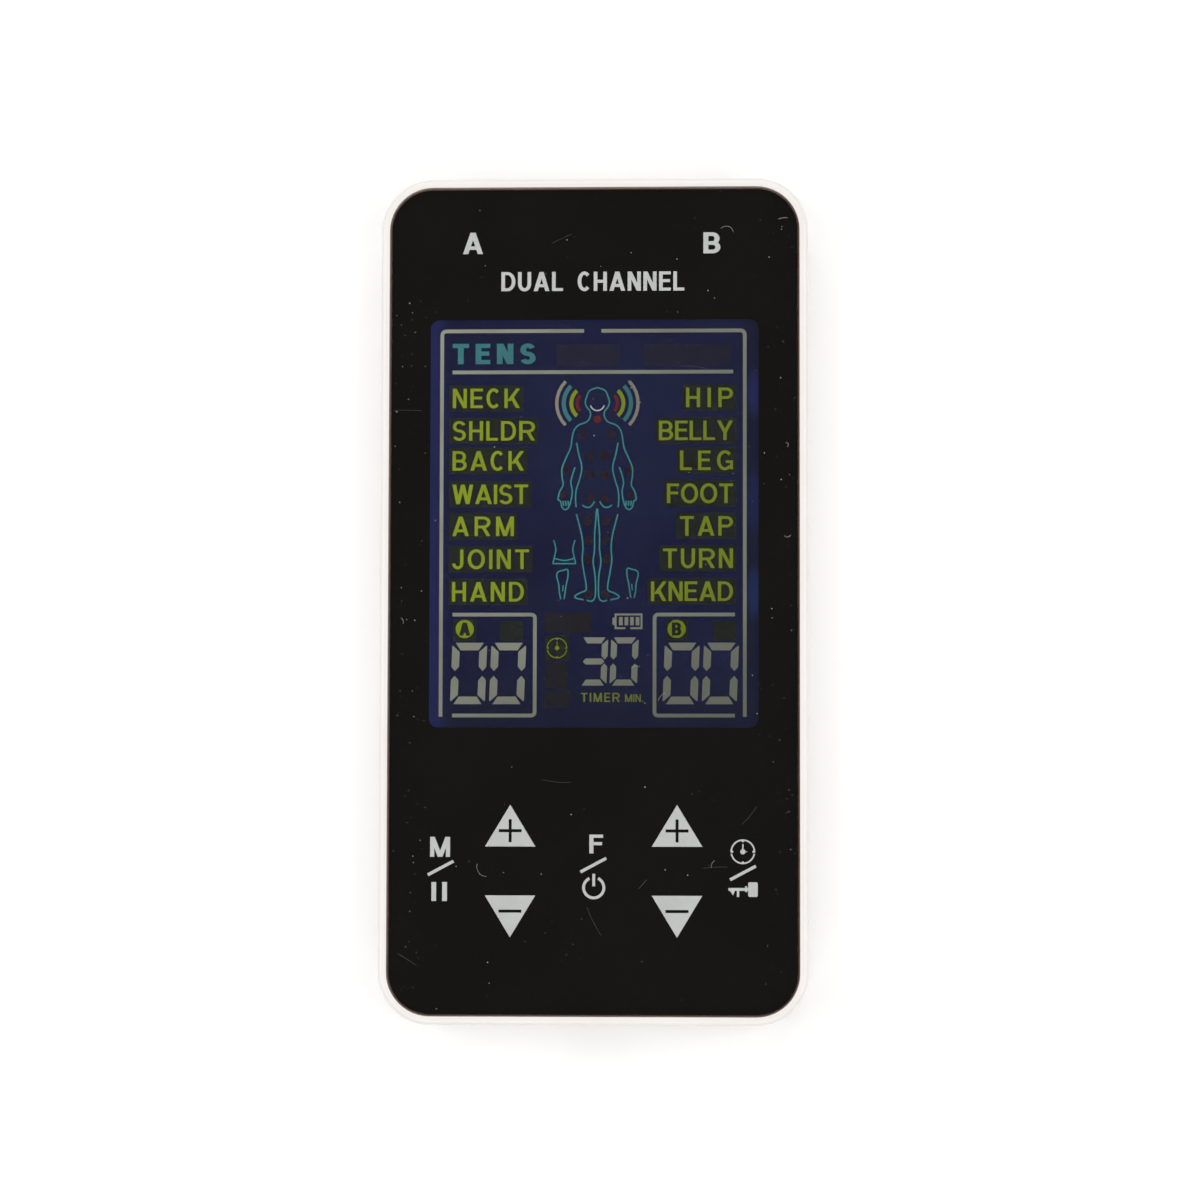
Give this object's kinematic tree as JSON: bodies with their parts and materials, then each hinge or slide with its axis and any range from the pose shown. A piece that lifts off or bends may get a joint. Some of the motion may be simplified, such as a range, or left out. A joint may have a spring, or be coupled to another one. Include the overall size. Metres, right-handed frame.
{
  "type": "tens unit",
  "caption": "Slim hand-held nerve stimulator: white case, glossy black touch panel with blue display, lead jacks in one end and a charging socket in the other.",
  "frame": {"origin": "middle of the back face, where the unit lies on a table", "axes": "+X to the right as the display is read, +Y towards the end with the lead jacks, +Z out of the front panel"},
  "size_m": [0.0608, 0.1202, 0.0118],
  "materials": {
    "case_white": "glossy moulded ABS",
    "lens_clear": "polished clear acrylic",
    "print_black": "black screen print on clear film",
    "ink_grey": "light grey screen print",
    "window_tint": "dark tinted clear film",
    "gasket_black": "double-sided foam tape",
    "polarizer": "dark blue polarizer",
    "lcd_glass": "thin display glass",
    "tinned_metal": "tin plate",
    "backlight_white": "white moulded tray",
    "guide_clear": "clear acrylic plate",
    "sheet_white": "white film",
    "led_yellow": "phosphor resin",
    "board_green": "green solder mask on glass fibre",
    "gold_plate": "thin gold plate",
    "chip_black": "moulded epoxy",
    "ceramic_tan": "fired ceramic",
    "ferrite": "sintered ferrite",
    "bobbin_black": "moulded black plastic",
    "copper_wire": "enamelled copper",
    "can_blue": "blue sleeve on an aluminium can",
    "battery_foil": "aluminium laminate pouch",
    "tape_yellow": "polyimide tape",
    "foam_black": "soft foam",
    "wire_red": "soft insulation",
    "wire_black": "soft insulation",
    "plug_ivory": "nylon",
    "jack_black": "moulded black nylon",
    "spring_bronze": "phosphor bronze strip",
    "screw_steel": "nickel-plated steel",
    "label_grey": "satin silver-grey film"
  },
  "bodies": {
    "unit": {"rear_shell": "case_white", "front_frame": "case_white", "front_lens": "lens_clear", "print_film": "print_black", "key_symbols": "ink_grey", "window_tint": "window_tint", "lens_gasket": "gasket_black", "lcd_front_polarizer": "polarizer", "lcd_front_glass": "lcd_glass", "lcd_rear_glass": "lcd_glass", "lcd_rear_polarizer": "polarizer", "lcd_pins": "tinned_metal", "backlight_frame": "backlight_white", "light_guide": "guide_clear", "diffuser_sheet": "sheet_white", "reflector_sheet": "sheet_white", "backlight_leds": "led_yellow", "main_board": "board_green", "touch_pads": "gold_plate", "touch_springs": "tinned_metal", "controller_chip": "chip_black", "touch_chip": "chip_black", "charge_chip": "chip_black", "board_resistors": "chip_black", "board_capacitors": "ceramic_tan", "output_transistors": "chip_black", "transformer_a_core": "ferrite", "transformer_a_bobbin": "bobbin_black", "transformer_a_winding": "copper_wire", "transformer_b_core": "ferrite", "transformer_b_bobbin": "bobbin_black", "transformer_b_winding": "copper_wire", "boost_inductor_core": "ferrite", "boost_inductor_winding": "copper_wire", "reservoir_capacitor": "can_blue", "buzzer": "bobbin_black", "battery_cell": "battery_foil", "battery_tape": "tape_yellow", "battery_board": "board_green", "battery_foam": "foam_black", "battery_wire_red": "wire_red", "battery_wire_black": "wire_black", "battery_plug": "plug_ivory", "battery_socket": "plug_ivory", "usb_shell": "tinned_metal", "usb_tongue": "bobbin_black", "usb_contacts": "gold_plate", "jack_a_housing": "jack_black", "jack_a_sleeve": "tinned_metal", "jack_a_switch_contact": "spring_bronze", "jack_a_lugs": "tinned_metal", "jack_b_housing": "jack_black", "jack_b_sleeve": "tinned_metal", "jack_b_switch_contact": "spring_bronze", "jack_b_lugs": "tinned_metal", "case_screws": "screw_steel", "board_screws": "screw_steel", "rating_label": "label_grey"},
    "tip_contact_a": {"jack_a_tip_spring": "spring_bronze"},
    "tip_contact_b": {"jack_b_tip_spring": "spring_bronze"}
  },
  "joints": [
    {"name": "tip_contact_a_flex", "type": "hinge", "parent": "unit", "child": "tip_contact_a", "pos_m": [-0.017, 0.0531, 0.0032], "axis": [1, 0, 0], "range_deg": [0, 7], "stiffness_Nm_per_rad": 0.03},
    {"name": "tip_contact_b_flex", "type": "hinge", "parent": "unit", "child": "tip_contact_b", "pos_m": [0.017, 0.0531, 0.0032], "axis": [1, 0, 0], "range_deg": [0, 7], "stiffness_Nm_per_rad": 0.03}
  ]
}
